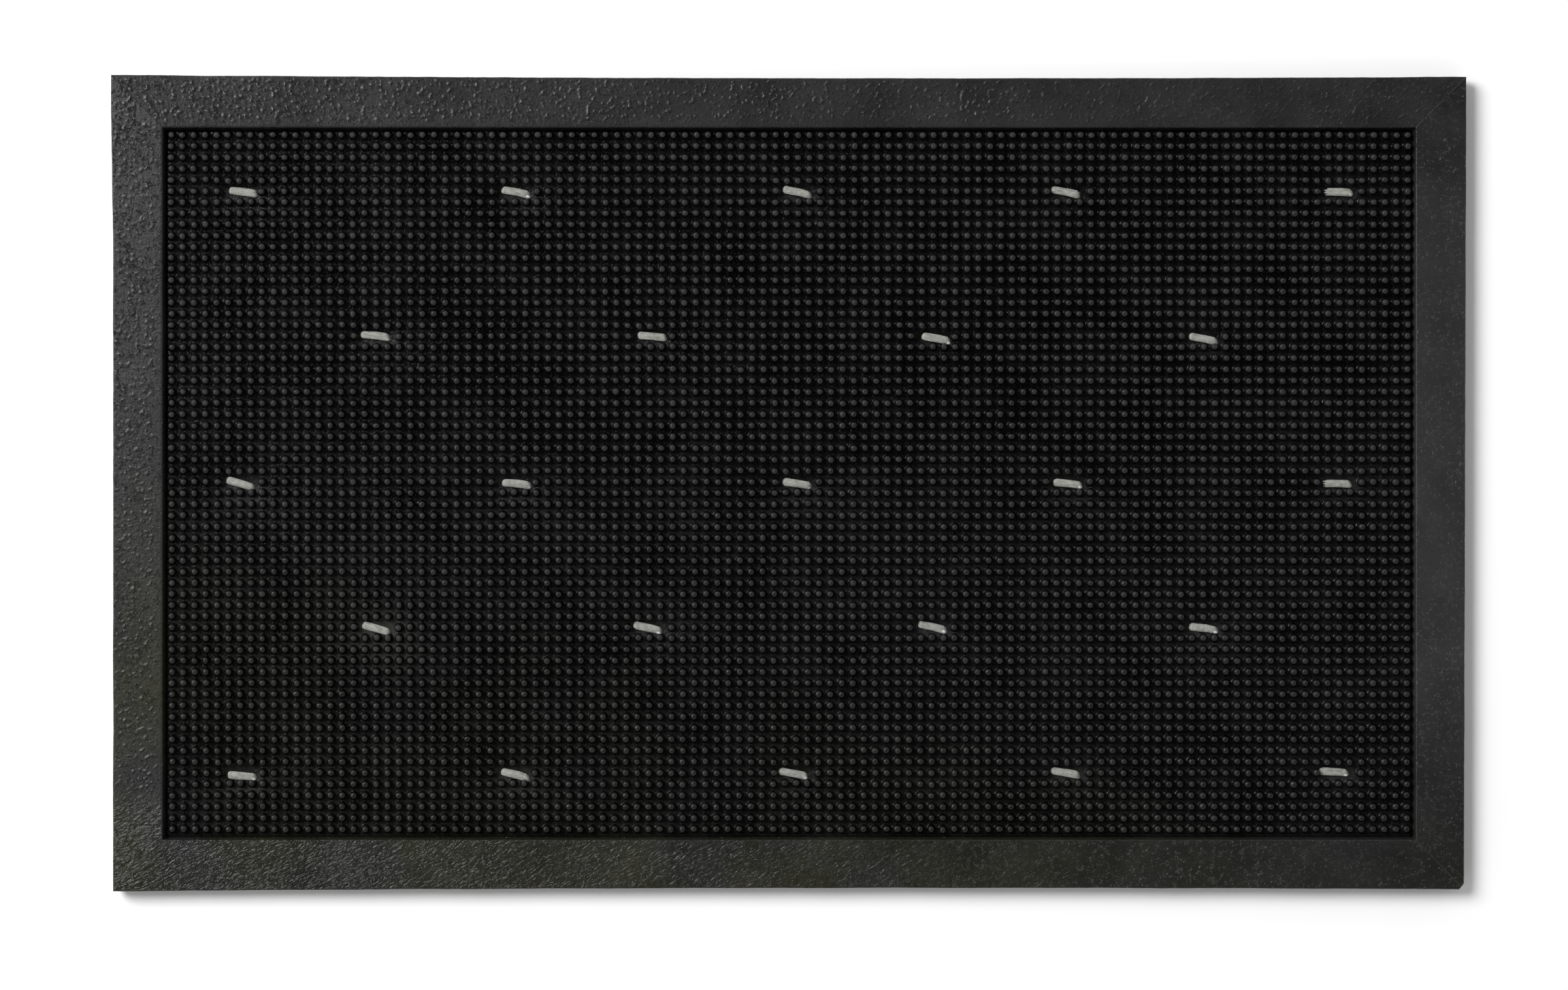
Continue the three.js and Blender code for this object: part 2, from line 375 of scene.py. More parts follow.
def cord_material():
    """Flat grey filament cord. The lay attribute holds metres along the cord and across it, and
    how strongly a painted highlight, a pale glint, is painted there."""
    material, nodes, links, shader = new_material("grey_filament_cord")
    lay = nodes.new("ShaderNodeAttribute")
    lay.attribute_name = "lay"
    place = nodes.new("ShaderNodeTexCoord").outputs["Object"]
    along_cord = stretched(nodes, links, lay.outputs["Vector"], (170, 2600, 1))
    filaments = noise(nodes, links, along_cord, 1, 3, 0.7, 0.4)
    soil = noise(nodes, links, place, 420, 3, 0.6)
    tone = maths(nodes, links, "ADD", maths(nodes, links, "MULTIPLY", filaments, 0.6),
                 maths(nodes, links, "MULTIPLY", soil, 0.4))
    colour = mix_colour(nodes, links, remap(nodes, links, tone, 0.38, 0.60),
                        (0.165, 0.170, 0.148), (0.33, 0.337, 0.304))
    # The pale colour mixed in by the lay's third value is a painted highlight, a glint at the
    # cord's end.
    split = nodes.new("ShaderNodeSeparateXYZ")
    links.new(lay.outputs["Vector"], split.inputs[0])
    links.new(mix_colour(nodes, links, remap(nodes, links, split.outputs["Z"], 0.15, 0.7), colour,
                         (0.75, 0.76, 0.74)), shader.inputs["Base Color"])
    shader.inputs["Roughness"].default_value = 0.58
    shader.inputs["Sheen Weight"].default_value = 0.15
    links.new(bump(nodes, links, filaments, 0.25 * MM), shader.inputs["Normal"])
    return material


def felt_material():
    """Needle-punched charcoal felt: matted fibres in mixed greys."""
    material, nodes, links, shader = new_material("charcoal_felt")
    place = nodes.new("ShaderNodeTexCoord").outputs["Object"]
    fibres = noise(nodes, links, place, 900, 5, 0.75, 3.0)
    clumps = noise(nodes, links, place, 90, 3, 0.6)
    tone = maths(nodes, links, "ADD", maths(nodes, links, "MULTIPLY", fibres, 0.6),
                 maths(nodes, links, "MULTIPLY", clumps, 0.4))
    colour = mix_colour(nodes, links, remap(nodes, links, tone, 0.35, 0.65),
                        (0.03, 0.03, 0.03), (0.13, 0.13, 0.125))
    links.new(colour, shader.inputs["Base Color"])
    shader.inputs["Roughness"].default_value = 0.95
    shader.inputs["Sheen Weight"].default_value = 0.3
    links.new(bump(nodes, links, fibres, 0.4 * MM), shader.inputs["Normal"])
    return material


# ---------------------------------------------------------------- mesh helpers

def new_piece(name, points, faces, material):
    """A piece that rides on the mat, from an array of points and a list of arrays of faces."""
    mesh = bpy.data.meshes.new(name)
    mesh.vertices.add(len(points))
    mesh.vertices.foreach_set("co", np.asarray(points, np.float32).ravel())
    corners = np.concatenate([f.ravel() for f in faces])
    sizes = np.concatenate([np.full(len(f), f.shape[1]) for f in faces])
    mesh.loops.add(len(corners))
    mesh.loops.foreach_set("vertex_index", corners.astype(np.int32))
    mesh.polygons.add(len(sizes))
    mesh.polygons.foreach_set("loop_start", (np.cumsum(sizes) - sizes).astype(np.int32))
    mesh.polygons.foreach_set("use_smooth", np.ones(len(sizes), bool))
    mesh.update(calc_edges=True)
    mesh.validate()
    mesh.materials.append(material)
    piece = bpy.data.objects.new(name, mesh)
    bpy.context.scene.collection.objects.link(piece)
    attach(piece, "root")
    return piece


def add_wear(piece, values):
    attribute = piece.data.attributes.new("wear", "FLOAT", "POINT")
    attribute.data.foreach_set("value", np.asarray(values, np.float32).ravel())


def grid_faces(rows, columns, start=0, wrap_rows=False, wrap_columns=False):
    """Quads of a grid of points that is stored row after row."""
    i = np.arange(rows if wrap_rows else rows - 1)[:, None]
    j = np.arange(columns if wrap_columns else columns - 1)[None, :]
    i2, j2 = (i + 1) % rows, (j + 1) % columns
    quads = np.stack([i * columns + j, i * columns + j2, i2 * columns + j2, i2 * columns + j], -1)
    return quads.reshape(-1, 4) + start


def closed_plate(x, y, z_top, z_bottom):
    """Points and faces of a plate: a top grid over a bottom one, joined round the rim."""
    top = np.stack([x, y, z_top], -1).reshape(-1, 3)
    bottom = np.stack([x, y, z_bottom], -1).reshape(-1, 3)
    rows, columns = x.shape
    count = rows * columns
    index = np.arange(count).reshape(rows, columns)
    rim = np.concatenate([index[0, :-1], index[:-1, -1], index[-1, :0:-1], index[:0:-1, 0]])
    after = np.roll(rim, -1)
    sides = np.stack([rim, rim + count, after + count, after], -1)
    faces = [grid_faces(rows, columns), grid_faces(rows, columns, count)[:, ::-1], sides]
    return np.concatenate([top, bottom]), faces


def gradient_noise(x, y, cell, seed):
    """Smooth noise from about -1 to 1, whose bumps are about one cell wide."""
    table = np.random.default_rng(seed).uniform(0, 2 * math.pi, (256, 256))
    u, v = x / cell, y / cell
    i, j = np.floor(u).astype(int), np.floor(v).astype(int)
    fu, fv = u - i, v - j
    su = fu * fu * fu * (fu * (fu * 6 - 15) + 10)
    sv = fv * fv * fv * (fv * (fv * 6 - 15) + 10)

    def corner(di, dj):
        angle = table[(i + di) % 256, (j + dj) % 256]
        return np.cos(angle) * (fu - di) + np.sin(angle) * (fv - dj)

    low = corner(0, 0) * (1 - su) + corner(1, 0) * su
    high = corner(0, 1) * (1 - su) + corner(1, 1) * su
    return 1.4 * (low * (1 - sv) + high * sv)


def smooth_step(value, low, high):
    t = np.clip((value - low) / (high - low), 0, 1)
    return t * t * (3 - 2 * t)


# ---------------------------------------------------------------- tacks and the pull they give

class Tack:
    """Where one CAD tack lies: its middle, its direction, its length, its width and its foot."""

    def __init__(self, name):
        points = np.array([v.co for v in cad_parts[name].data.vertices])
        self.name = name
        self.middle = (points.min(0) + points.max(0))[:2] / 2
        flat = points[:, :2] - self.middle
        along = np.linalg.eigh(flat.T @ flat)[1][:, -1]
        self.along = along * np.sign(along[0])
        self.across = np.array([-self.along[1], self.along[0]])
        self.half_length = np.abs(flat @ self.along).max()
        self.half_width = np.abs(flat @ self.across).max()
        self.low = points[:, 2].min()

    def distance(self, x, y):
        """How far a point is from the tack's middle line, seen from above."""
        u = (x - self.middle[0]) * self.along[0] + (y - self.middle[1]) * self.along[1]
        v = (x - self.middle[0]) * self.across[0] + (y - self.middle[1]) * self.across[1]
        past_end = np.maximum(np.abs(u) - (self.half_length - self.half_width), 0)
        return np.hypot(past_end, v)


TACKS = [Tack(name) for name in sorted(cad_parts) if name.startswith("tack_")]


def pull_down(x, y):
    """How far the tacks pull the rubber down at each point."""
    depth = np.zeros_like(x)
    for tack in TACKS:
        d = tack.distance(x, y)
        pit = PIT_DEPTH * np.exp(-(d / PIT_REACH) ** 2)
        depth += pit + HOLLOW_DEPTH * np.exp(-(d / HOLLOW_REACH) ** 2)
    return depth


def web_height(x, y):
    """Top of the web: pulled down at the tacks and very slightly wavy between them."""
    wave = 0.12 * MM * gradient_noise(x, y, 60 * MM, 11)
    return WEB_TOP + wave - pull_down(x, y)


# ---------------------------------------------------------------- the rubber moulding

def grain_height(x, y):
    """Height of the border's coarse grain: short raised worms on a faintly lumpy skin, strongest
    towards the left and along the far side. On the near side it is drawn into slanting
    wrinkles."""
    bend_x = x + 1.0 * MM * gradient_noise(x, y, 4 * MM, 21)
    bend_y = y + 1.0 * MM * gradient_noise(x, y, 4 * MM, 22)
    worms = np.exp(-(gradient_noise(bend_x, bend_y, 2.9 * MM, 23) / 0.2) ** 2)
    breaks = smooth_step(gradient_noise(x, y, 2.5 * MM, 24), 0.14, 0.38)
    slant_x, slant_y = (bend_x + 0.45 * bend_y) * 0.42, bend_y - 0.45 * bend_x
    wrinkles = gradient_noise(slant_x, slant_y, 1.5 * MM, 27)
    aslant = smooth_step(-y, 0.17, 0.20)
    far = smooth_step(y, 0.16, 0.20)
    coarse = (0.36 + 0.18 * far) * worms * breaks
    relief = ((1 - aslant) * coarse + aslant * 0.36 * wrinkles) * MM
    lumps = 0.03 * MM * gradient_noise(x, y, 1.6 * MM, 25)
    field = 0.60 + 0.3 * gradient_noise(x, y, 45 * MM, 26) + 0.08 * y / HALF_WIDTH
    field = field + 0.08 * far - (0.40 - 0.22 * far) * x / HALF_LENGTH
    return np.clip(field, 0.25, 0.92) * (relief + lumps)


def border_greying(x, y):
    """How grey the border is made: most in the middle of the right side."""
    right = smooth_step(x, 0.28, 0.35) * (1 - smooth_step(np.abs(y), 0.08, 0.21))
    left = smooth_step(-x, 0.30, 0.36) * (1 - smooth_step(y, 0.10, 0.20))
    near = smooth_step(-y, 0.15, 0.20)
    patches = 0.18 * gradient_noise(x, y, 34 * MM, 28)
    return np.clip(0.08 + 0.6 * right + 0.1 * left - 0.08 * near + patches, 0, 1)


def long_edge_bow(x, y):
    """How far the long edges stand out: a little hollow, and furthest apart at the left."""
    u = x / HALF_LENGTH
    return MM * (-0.45 - 0.55 * u + 1.3 * u * u + np.where(y > 0, 0.45, -0.2))


def short_edge_bow(x, y):
    """How far the short edges stand out: the far left corner drawn out, the right edge askew."""
    left = 0.2 + 1.15 * smooth_step(y, 0.11, HALF_WIDTH)
    right = 0.1 + 3 * y
    return MM * np.where(x > 0, right, left)


def edge_waver(along, seed):
    """How far the outer edge wanders in and out, in long waves and short ones."""
    long_waves = 0.22 * MM * gradient_noise(along, 0 * along, 38 * MM, seed)
    return long_waves + 0.09 * MM * gradient_noise(along, 0 * along, 7 * MM, seed + 1)


def grain_share(d):
    """How much of the coarse grain the border carries at a distance from its outer edge. It fades
    towards the edge, and towards the crest that is level with the pins."""
    from_edge = smooth_step(d, 0.6 * MM, 2.5 * MM)
    to_crest = smooth_step(d, RAMP_WIDTH - 5 * MM, RAMP_WIDTH - 0.5 * MM)
    return float(from_edge * (1 - 0.9 * to_crest))


def border_profile():
    """The border's section from its outer bottom edge to its inner one: distance from the outside
    and height, with the part of the grain that each point carries."""
    step = 0.5 * MM
    rounding = 0.5 * MM
    lip = RUBBER_FLOOR + LIP_THICKNESS
    rise = TIP_HEIGHT - lip
    points = [
        (0.15 * MM, RUBBER_FLOOR, 0),
        (0, RUBBER_FLOOR + 0.3 * MM, 0),
        (0, RUBBER_FLOOR + LIP_THICKNESS * 0.5, 0),
        (0, lip - rounding, 0),
        (0.15 * rounding, lip - 0.35 * rounding, 0),
    ]
    for d in np.arange(rounding, RAMP_WIDTH, step):
        points.append((d, lip + rise * (d / RAMP_WIDTH), grain_share(d)))
    for angle in np.radians([0, 30, 60, 90]):
        away = BORDER_WIDTH - rounding * (1 - math.sin(angle))
        points.append((away, TIP_HEIGHT - rounding * (1 - math.cos(angle)), 0.1))
    for t in (0.25, 0.5, 0.75, 0.92):
        z = TIP_HEIGHT - rounding + (WEB_TOP - TIP_HEIGHT + rounding) * t
        points.append((BORDER_WIDTH + WALL_DRAFT * t, z, 0))
    foot = BORDER_WIDTH + WALL_DRAFT + 0.3 * MM
    points += [(foot, WEB_TOP - 0.05 * MM, 0), (foot, RUBBER_FLOOR, 0)]
    points.append((BORDER_WIDTH * 0.5, RUBBER_FLOOR, 0))
    return np.array(points)


def border_side(name, turn, half_run, half_reach, seed, material):
    """One mitred side of the border. turn is 0, 1, 2 or 3 quarter turns from the near side."""
    profile = border_profile()
    column_step = 0.56 * MM
    columns = int(2 * half_run / column_step)
    t = np.linspace(-1, 1, columns)[:, None]
    away = profile[None, :, 0]
    run = t * (half_run - away)
    fade = np.clip(1 - away / BORDER_WIDTH, 0, 1) ** 2
    quarter = turn * math.pi / 2
    side_x, side_y = math.cos(quarter), math.sin(quarter)
    out_x, out_y = math.sin(quarter), -math.cos(quarter)
    reach = half_reach - away + fade * edge_waver(run, seed)
    x = run * side_x + reach * out_x
    y = run * side_y + reach * out_y
    # The corners stay joined, because every side takes the same bow from its place.
    spread_x = np.clip((np.abs(x) - (HALF_LENGTH - BORDER_WIDTH)) / BORDER_WIDTH, 0, 1)
    spread_y = np.clip((np.abs(y) - (HALF_WIDTH - BORDER_WIDTH)) / BORDER_WIDTH, 0, 1)
    x, y = (x + np.sign(x) * spread_x * short_edge_bow(x, y),
            y + np.sign(y) * spread_y * long_edge_bow(x, y))
    # Each side dips very slightly where it meets the next one.
    mitre_dip = 0.008 * MM * (1 - smooth_step(half_run - away - np.abs(run), 0, 1.2 * MM))
    z = profile[None, :, 1] + profile[None, :, 2] * (grain_height(x, y) - mitre_dip)
    points = np.stack([x, y, z * np.ones_like(x)], -1).reshape(-1, 3)
    rows = len(profile)
    walls = grid_faces(columns, rows, wrap_columns=True)
    first = np.arange(rows)[None, :]
    last = (columns - 1) * rows + np.arange(rows)[None, ::-1]
    side = new_piece(name, points, [walls, first, last], material)
    add_wear(side, border_greying(x, y))
    return side


def nip_corner(piece):
    """Cuts off the small corner that was nipped away at the near right."""
    shape = bmesh.new()
    shape.from_mesh(piece.data)
    corner_x = HALF_LENGTH + float(short_edge_bow(HALF_LENGTH, -HALF_WIDTH))
    corner_y = -HALF_WIDTH - float(long_edge_bow(HALF_LENGTH, -HALF_WIDTH))
    start = Vector((corner_x - NIPPED_ALONG, corner_y, 0))
    outward = Vector((NIPPED_ACROSS, -NIPPED_ALONG, 0)).normalized()
    parts = shape.verts[:] + shape.edges[:] + shape.faces[:]
    bmesh.ops.bisect_plane(shape, geom=parts, plane_co=start, plane_no=outward, clear_outer=True)
    open_edges = [e for e in shape.edges if e.is_boundary]
    bmesh.ops.holes_fill(shape, edges=open_edges)
    shape.to_mesh(piece.data)
    shape.free()


def make_border(material):
    sides = [
        border_side("border_near", 0, HALF_LENGTH, HALF_WIDTH, 31, material),
        border_side("border_right", 1, HALF_WIDTH, HALF_LENGTH, 33, material),
        border_side("border_far", 2, HALF_LENGTH, HALF_WIDTH, 35, material),
        border_side("border_left", 3, HALF_WIDTH, HALF_LENGTH, 37, material),
    ]
    for side in sides[:2]:
        nip_corner(side)
    return sides


def painted_light_patch(x, y):
    """Painted light: a broad pale patch at one tack and faint ones at the others, each a little
    right of its tack and nearer the viewer, where the web catches more light.
    """
    grey = np.zeros_like(x)
    for tack in TACKS:
        strength, reach = (1.0, 20 * MM) if tack.name == LIT_PATCH_TACK else (0.12, 14 * MM)
        d = tack.distance(x - 3 * MM, y + 3 * MM)
        grey = np.maximum(grey, strength * np.exp(-(d / reach) ** 2))
    return grey


def web_wear_and_painted_light(x, y):
    """How grey the web is: more towards the near side and in random patches. Just below each tack
    and in the patches of painted light it is painted paler as painted light.
    """
    wear = 0.36 * smooth_step(-y, -0.11, 0.06) - 0.11 + 0.18 * gradient_noise(x, y, 38 * MM, 42)
    # Painted light: just below each tack the web is painted paler, where light reaches it between
    # the pins.
    for tack in TACKS:
        d = tack.distance(x, y + 5 * MM)
        wear = wear + 0.4 * np.exp(-(d / (4 * MM)) ** 2)
    return np.clip(wear + 0.7 * painted_light_patch(x, y), 0, 1)


def make_web(material):
    """The sheet of rubber inside the border, dimpled at the tacks."""
    inner_x = HALF_LENGTH - BORDER_WIDTH - WALL_DRAFT
    inner_y = HALF_WIDTH - BORDER_WIDTH - WALL_DRAFT
    step = 2.4 * MM
    columns, rows = int(2 * inner_x / step), int(2 * inner_y / step)
    x, y = np.meshgrid(np.linspace(-inner_x, inner_x, columns),
                       np.linspace(-inner_y, inner_y, rows))
    top = web_height(x, y) + 0.05 * MM * gradient_noise(x, y, 5 * MM, 41)
    bottom = RUBBER_FLOOR - 0.5 * pull_down(x, y)
    points, faces = closed_plate(x, y, top, bottom)
    web = new_piece("web", points, faces, material)
    add_wear(web, np.tile(web_wear_and_painted_light(x, y), (2, 1)))
    return web


# Radius and height round a pin, from the foot to the tip.
PIN_PROFILE = np.array([
    (3.05, -0.45), (2.95, 0.02), (2.68, 0.12), (2.46, 0.34), (2.32, 0.75), (2.18, 1.5),
    (1.93, 2.90), (1.82, 3.35), (1.68, 3.72), (1.46, 4.02), (1.15, 4.26), (0.75, 4.43),
    (0.33, 4.50),
]) * MM
PIN_SIDES = 14


def pin_template():
    """Points and faces of one upright pin, standing at the origin."""
    angle = np.arange(PIN_SIDES) * 2 * math.pi / PIN_SIDES
    rings = len(PIN_PROFILE)
    tip = PIN_PROFILE[-1, 1]
    r, z = PIN_PROFILE[:, 0, None], PIN_PROFILE[:, 1, None] * PIN_HEIGHT / tip
    x, y, level = r * np.cos(angle), r * np.sin(angle), z * np.ones(PIN_SIDES)
    body = np.stack([x, y, level], -1).reshape(-1, 3)
    centre = np.array([[0, 0, z[-1, 0]]])
    points = np.concatenate([body, centre])
    walls = grid_faces(rings, PIN_SIDES, wrap_columns=True)
    top_ring = (rings - 1) * PIN_SIDES + np.arange(PIN_SIDES)
    cap = np.stack([top_ring, np.roll(top_ring, -1), np.full(PIN_SIDES, rings * PIN_SIDES)], -1)
    foot = np.arange(PIN_SIDES)[None, ::-1]
    return points, walls, cap, foot


def drifted(x, y):
    """The moulding shrank unevenly, so the pins have wandered up to about a millimetre from
    their even grid. The shifts are in millimetres."""
    rise = smooth_step(x, -0.27, -0.14)
    fall = smooth_step(x, -0.05, 0.33)
    skew = 5.5 * rise * (1 - fall) + 3 * fall - 1.5
    shift_x = 0.15 + 1.05 * rise - 1.1 * fall + y * skew
    shift_y = 0.3 * np.cos((y - 0.045) * 24) + 0.75 * np.exp(-((y + 0.11) / 0.055) ** 2) - 0.08
    return x + shift_x * MM, y + shift_y * MM


def pin_places(first_row, last_row):
    """Pin centres in a band of rows, without the pins that the tacks displaced."""
    columns = (np.arange(PIN_COLUMNS) - (PIN_COLUMNS - 1) / 2) * PIN_PITCH_X
    rows = ((PIN_ROWS - 1) / 2 - np.arange(first_row, last_row)) * PIN_PITCH_Y + PIN_BED_SHIFT
    x, y = drifted(*(a.ravel() for a in np.meshgrid(columns, rows)))
    clear = np.ones(len(x), bool)
    for tack in TACKS:
        clear &= tack.distance(x, y) > PIN_CLEARANCE
    return x[clear], y[clear]


def pin_band(number, first_row, last_row, material):
    """One band of pins. Each leans with the web under it and is moulded a little differently."""
    rng = np.random.default_rng(500 + number)
    x, y = pin_places(first_row, last_row)
    count = len(x)
    points, walls, cap, foot = pin_template()
    reach = 1 * MM
    slope_x = (web_height(x + reach, y) - web_height(x - reach, y)) / (2 * reach)
    slope_y = (web_height(x, y + reach) - web_height(x, y - reach)) / (2 * reach)
    lean_x = rng.normal(0, 0.025, count) - slope_x
    lean_y = rng.normal(0, 0.025, count) - slope_y
    girth = rng.normal(1, 0.025, count)
    oval = rng.normal(0, 0.035, count)
    tall = rng.normal(1, 0.012, count) - 0.01
    pit = rng.uniform(0.1, 0.5, count) ** 2 * MM
    spin = rng.uniform(0, 2 * math.pi / PIN_SIDES, count)
    px, py, pz = (points[:, k][None, :] for k in range(3))
    turn_x = px * np.cos(spin)[:, None] - py * np.sin(spin)[:, None]
    turn_y = px * np.sin(spin)[:, None] + py * np.cos(spin)[:, None]
    z = pz * np.where(pz > 0, np.minimum(tall, 1.0)[:, None], 1)
    # The middle of the tip is dimpled.
    z = z - pit[:, None] * (1 - smooth_step(np.hypot(px, py), 0.25 * MM, 0.9 * MM)) * (pz > 0)
    wobble_x = rng.normal(0, 0.05 * MM, (count, points.shape[0]))
    wobble_y = rng.normal(0, 0.05 * MM, (count, points.shape[0]))
    middle_x = x + rng.normal(0, 0.08 * MM, count)
    middle_y = y + rng.normal(0, 0.08 * MM, count)
    body_x = turn_x * (girth + oval)[:, None] + z * lean_x[:, None] + wobble_x
    body_y = turn_y * (girth - oval)[:, None] + z * lean_y[:, None] + wobble_y
    body_z = web_height(x, y)[:, None] + z
    moulded = np.stack([middle_x[:, None] + body_x, middle_y[:, None] + body_y, body_z], -1)
    shift = (np.arange(count) * points.shape[0])[:, None, None]
    faces = [(part[None] + shift).reshape(-1, part.shape[1]) for part in (walls, cap, foot)]
    name = f"pins_rows_{first_row + 1}_to_{last_row}"
    band = new_piece(name, moulded.reshape(-1, 3), faces, material)
    # The tips are greyer, most at the far side, and painted paler still in the patches of painted
    # light. The flanks on the left are painted grey as a painted highlight where light from the
    # left falls on them, the more so towards the right of the mat.
    tip_wear_and_painted_light = rng.uniform(0.65, 1.1, count) * (0.8 + 1.1 * y + 0.6 * painted_light_patch(x, y))
    height = pz / PIN_HEIGHT
    leftward = np.clip(-turn_x / np.maximum(np.hypot(px, py), 1 * MM), 0, 1)
    painted_lit_flank = (0.2 + 0.35 * smooth_step(x, -0.1, 0.3))[:, None]
    painted_lit_flank = painted_lit_flank * leftward * smooth_step(height, 0.2, 0.75)
    add_wear(band, np.maximum(smooth_step(height, 0.74, 0.97) * tip_wear_and_painted_light[:, None], painted_lit_flank))
    return band


def make_pins(material):
    first_rows = range(0, PIN_ROWS, PIN_ROWS_PER_BAND)
    return [pin_band(k, first, min(first + PIN_ROWS_PER_BAND, PIN_ROWS), material)
            for k, first in enumerate(first_rows)]


# ---------------------------------------------------------------- cord tacks

def sweep(path, across, up, half_width, half_height, sides=18, closed=False):
    """Points, faces and lay values of a flattened, faintly ribbed cord along a path of points."""
    count = len(path)
    angle = np.arange(sides) * 2 * math.pi / sides
    power = 0.8
    c = np.sign(np.cos(angle)) * np.abs(np.cos(angle)) ** power
    s = np.sign(np.sin(angle)) * np.abs(np.sin(angle)) ** power
    rib = 1 + 0.02 * np.cos(angle * sides / 2)
    half_width = np.broadcast_to(half_width, count)[:, None, None]
    half_height = np.broadcast_to(half_height, count)[:, None, None]
    offset = half_width * (c * rib)[None, :, None] * across[:, None, :] \
        + half_height * (s * rib)[None, :, None] * up[:, None, :]
    points = (path[:, None, :] + offset).reshape(-1, 3)
    walls = grid_faces(count, sides, wrap_rows=closed, wrap_columns=True)
    length = np.concatenate([[0], np.cumsum(np.linalg.norm(np.diff(path, axis=0), axis=1))])
    girth = 6 * MM
    around = angle / (2 * math.pi) * girth
    lay = np.stack(np.broadcast_arrays(length[:, None], around[None, :]), -1)
    faces = [walls]
    if not closed:
        faces += [np.arange(sides)[None, ::-1], ((count - 1) * sides + np.arange(sides))[None, :]]
    return points, faces, lay.reshape(-1, 2)


def loop_route(half, top, bottom):
    """The loop's side view, as distances along the tack and heights: over the rubber, down,
    back under the felt and up again. Also the part of the full width that the cord has there."""
    flat_end = half - TACK_CORNER
    flat_top = np.linspace(-flat_end, flat_end, 33)
    bend = np.radians(np.linspace(90, 0, 10))[1:]
    leg_top = top - TACK_CORNER
    turn = np.stack([flat_end + TACK_CORNER * np.cos(bend),
                     leg_top + TACK_CORNER * np.sin(bend)], -1)
    legs = np.linspace(leg_top, bottom + 0.8 * MM, 6)[1:]
    down = np.stack([np.full(len(legs), half), legs], -1)
    flat_bottom = np.stack([np.linspace(half - 0.7 * MM, 0, 7), np.full(7, bottom)], -1)
    right = np.concatenate([turn, down, flat_bottom[:-1]])
    # The cord is gathered as it turns down into its hole, so its ends look rounded from above.
    gathered = 0.62
    rest = np.full(len(right) - len(bend), gathered)
    gather = np.concatenate([np.sqrt(1 - gathered * np.cos(bend) ** 2), rest])
    upper = np.stack([flat_top, np.full(len(flat_top), top)], -1)
    route = np.concatenate([upper, right, [[0, bottom]], right[::-1] * [-1, 1]])
    width = np.concatenate([np.ones(len(upper)), gather, [gathered], gather[::-1]])
    return route[:, 0], route[:, 1], width


def frame_along(path, tack):
    """Directions across and up for each point of a closed loop in the tack's own plane."""
    ahead = np.roll(path, -1, 0) - np.roll(path, 1, 0)
    ahead /= np.linalg.norm(ahead, axis=1)[:, None]
    across = np.broadcast_to([*tack.across, 0.0], path.shape)
    up = np.cross(ahead, across)
    up /= np.linalg.norm(up, axis=1)[:, None]
    return np.cross(up, ahead), up


def knot_path(tack, height):
    """A flat overhand knot under the felt, with its two short tails."""
    t = np.linspace(0.18, 2 * math.pi - 0.18, 44)
    u = 1.55 * MM * (np.sin(t) + 1.25 * np.sin(2 * t))
    v = 1.15 * MM * (np.cos(t) - 1.25 * np.cos(2 * t))
    z = height - 0.34 * MM * np.sin(3 * t)
    ends = 6
    start = np.linspace(1, 0, ends, endpoint=False)[:, None]
    tail_in = start * [-4.2 * MM, -0.9 * MM, -0.25 * MM]
    tail_out = start[::-1] * [4.0 * MM, 0.7 * MM, -0.25 * MM]
    knot = np.column_stack([u, v, z])
    path = np.concatenate([knot[0] + tail_in, knot, knot[-1] + tail_out])
    xy = tack.middle + path[:, :1] * tack.along + path[:, 1:2] * tack.across
    return np.column_stack([xy, path[:, 2]])


def open_frame(path):
    """Directions across and up for each point of an open path that lies nearly flat."""
    ahead = np.gradient(path, axis=0)
    ahead /= np.linalg.norm(ahead, axis=1)[:, None]
    across = np.cross([0, 0, 1.0], ahead)
    across /= np.linalg.norm(across, axis=1)[:, None]
    return across, np.cross(ahead, across)


def shape_ends(points, tack, top, rng):
    """Pulls the right end askew, and splits the left end of a straight tack into short tufts."""
    u = (points[:, :2] - tack.middle) @ tack.along
    v = (points[:, :2] - tack.middle) @ tack.across
    above = smooth_step(points[:, 2], top - 2.6 * MM, top - 1.2 * MM)
    right_end = smooth_step(u, tack.half_length - 4.5 * MM, tack.half_length)
    left_end = smooth_step(-u, tack.half_length - 4 * MM, tack.half_length)
    skew = rng.uniform(0.25, 0.5) * -v * right_end
    skew = skew + rng.uniform(-0.1, 0.2) * v * left_end
    if abs(tack.along[1]) < FRAYED_SLOPE:
        tufts = np.abs((v / (1.45 * MM) + rng.uniform(0, 1)) % 1 - 0.5) * 2
        end = smooth_step(-u, tack.half_length - 3.2 * MM, tack.half_length - 0.4 * MM)
        skew = skew + end * 2.0 * MM * tufts ** 2
    points[:, :2] += (skew * above)[:, None] * tack.along


def painted_glint(points, tack, rng):
    """Where a painted highlight lies: a pale glint at the right end's lower corner, 1 there, 0
    elsewhere.
    """
    u = (points[:, :2] - tack.middle) @ tack.along
    v = (points[:, :2] - tack.middle) @ tack.across
    spot_u = tack.half_length - rng.uniform(1.0, 2.0) * MM
    spot_v = -rng.uniform(1.1, 1.6) * MM
    spot = np.exp(-((u - spot_u) / (1.1 * MM)) ** 2 - ((v - spot_v) / (0.6 * MM)) ** 2)
    return spot * rng.choice([0.1, 0.5, 1.0])


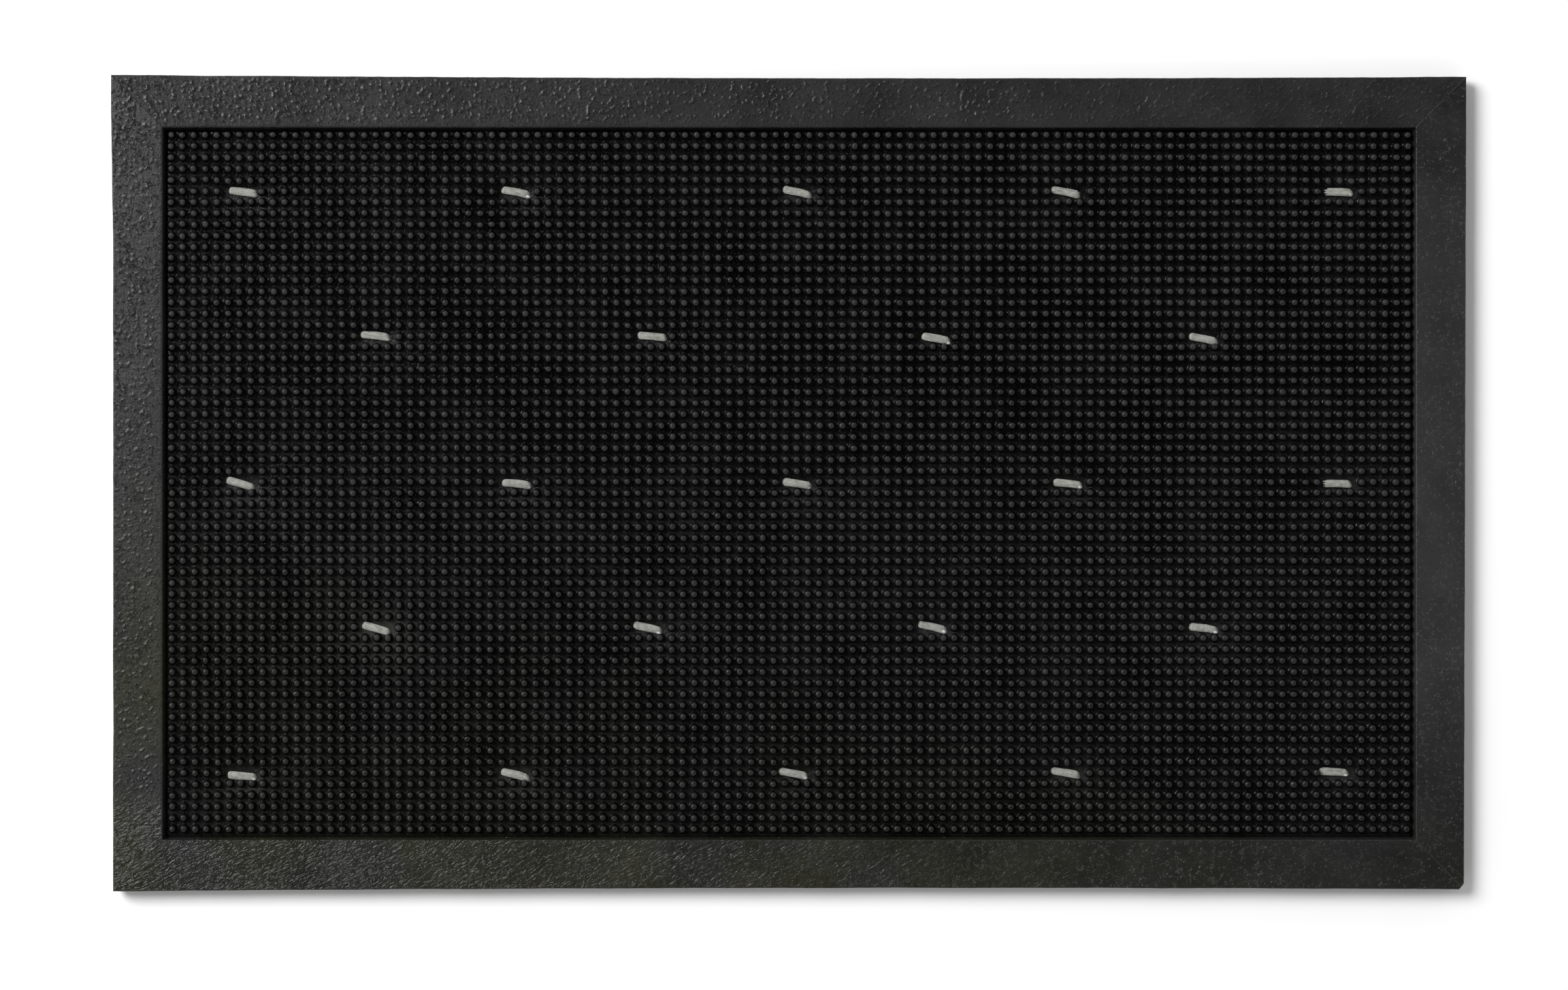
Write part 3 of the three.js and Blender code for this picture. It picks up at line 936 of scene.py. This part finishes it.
def make_tack(tack, number, material):
    """A closed band of flat cord, with its knot underneath."""
    rng = np.random.default_rng(900 + number)
    web = float(web_height(*tack.middle[:, None])[0])
    gap = 0.15 * MM
    top = web + CORD_THICKNESS / 2 + gap
    half = tack.half_length - CORD_THICKNESS / 2
    u, z, width = loop_route(half, top, tack.low + CORD_THICKNESS / 2)
    over = smooth_step(z, top - 1.4 * MM, top)
    crown = rng.uniform(0.25, 0.45) * MM * over * (1 - (u / half) ** 2)
    # The band sags sideways towards its right end, as it was pulled tight from there.
    sway = -rng.uniform(0.1, 0.5) * MM * over * smooth_step(u, 0.1 * half, half)
    sway = sway + rng.uniform(-0.15, 0.15) * MM * over * smooth_step(-u, 0.3 * half, half)
    swell = 1 + 0.04 * np.sin(u / half * 2.2 + rng.uniform(0, 6)) + rng.normal(0, 0.012, len(u))
    path_xy = tack.middle + u[:, None] * tack.along + sway[:, None] * tack.across
    path = np.column_stack([path_xy, z + crown])
    across, up = frame_along(path, tack)
    tilt = rng.uniform(-0.06, 0.02)
    tilted = across * math.cos(tilt) - up * math.sin(tilt)
    half_width = BAND_WIDTH / 2 * width * swell
    band = sweep(path, tilted, up, half_width, CORD_THICKNESS / 2, sides=28, closed=True)
    shape_ends(band[0], tack, top, rng)
    knot = knot_path(tack, tack.low + 0.55 * MM)
    parts = [band, sweep(knot, *open_frame(knot), 0.42 * MM, 0.38 * MM, sides=10)]
    points, faces, lay, start = [], [], [], 0
    for part_points, part_faces, part_lay in parts:
        points.append(part_points)
        faces += [f + start for f in part_faces]
        lay.append(part_lay + [0.02 * number, 0])
        start += len(part_points)
    points = np.concatenate(points)
    piece = new_piece(tack.name.replace("tack_", "cord_tack_"), points, faces, material)
    attribute = piece.data.attributes.new("lay", "FLOAT_VECTOR", "POINT")
    lay_and_painted_glint = np.column_stack([np.concatenate(lay), painted_glint(points, tack, rng)])
    attribute.data.foreach_set("vector", lay_and_painted_glint.astype(np.float32).ravel())
    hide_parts(tack.name)


# ---------------------------------------------------------------- felt underlay

def make_underlay(material):
    """A felt pad with soft edges, squeezed where the tacks pull it, pocketed round their knots."""
    half_x, half_y = FELT_HIGH.x, FELT_HIGH.y
    thickness = FELT_HIGH.z - FELT_LOW.z
    step = 2.7 * MM
    columns, rows = int(2 * half_x / step), int(2 * half_y / step)
    x, y = np.meshgrid(np.linspace(-half_x, half_x, columns), np.linspace(-half_y, half_y, rows))
    edge = np.minimum(half_x - np.abs(x), half_y - np.abs(y))
    waver = 0.35 * MM * gradient_noise(x, y, 9 * MM, 61) * (1 - smooth_step(edge, 0, 6 * MM))
    # The edges are rounded over, and the underside is lumpy.
    soft = 0.9 * MM * (1 - smooth_step(edge, -0.1 * MM, 3 * MM))
    lumps = 0.10 * MM * gradient_noise(x, y, 6 * MM, 62)
    top = FELT_HIGH.z - soft - 0.5 * pull_down(x, y) - 0.02 * MM
    pocket = np.zeros_like(x)
    for tack in TACKS:
        d = tack.distance(x, y)
        pocket = np.maximum(pocket, 1 - smooth_step(d, 2.6 * MM, 6.5 * MM))
    bottom = FELT_LOW.z + soft + np.abs(lumps) + pocket * thickness * 0.6
    points, faces = closed_plate(x + waver, y + waver, top, bottom)
    pad = new_piece("felt_underlay", points, faces, material)
    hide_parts("underlay")


# ---------------------------------------------------------------- the scene

def main():
    bpy.context.scene.view_settings.view_transform = "Standard"
    make_camera()
    make_floor()
    make_room()
    make_light("key", (-3.80, 2.47, 3.94), 3.3, 430)
    make_light("kick", (-1.20, 0.20, 1.90), 0.15, 0.8)
    field_rubber = field_material()
    moulding = [*make_border(border_material()), make_web(field_rubber), *make_pins(field_rubber)]
    for piece in moulding:
        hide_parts("rubber_mat")
    cord = cord_material()
    for number, tack in enumerate(TACKS):
        make_tack(tack, number, cord)
    make_underlay(felt_material())


main()
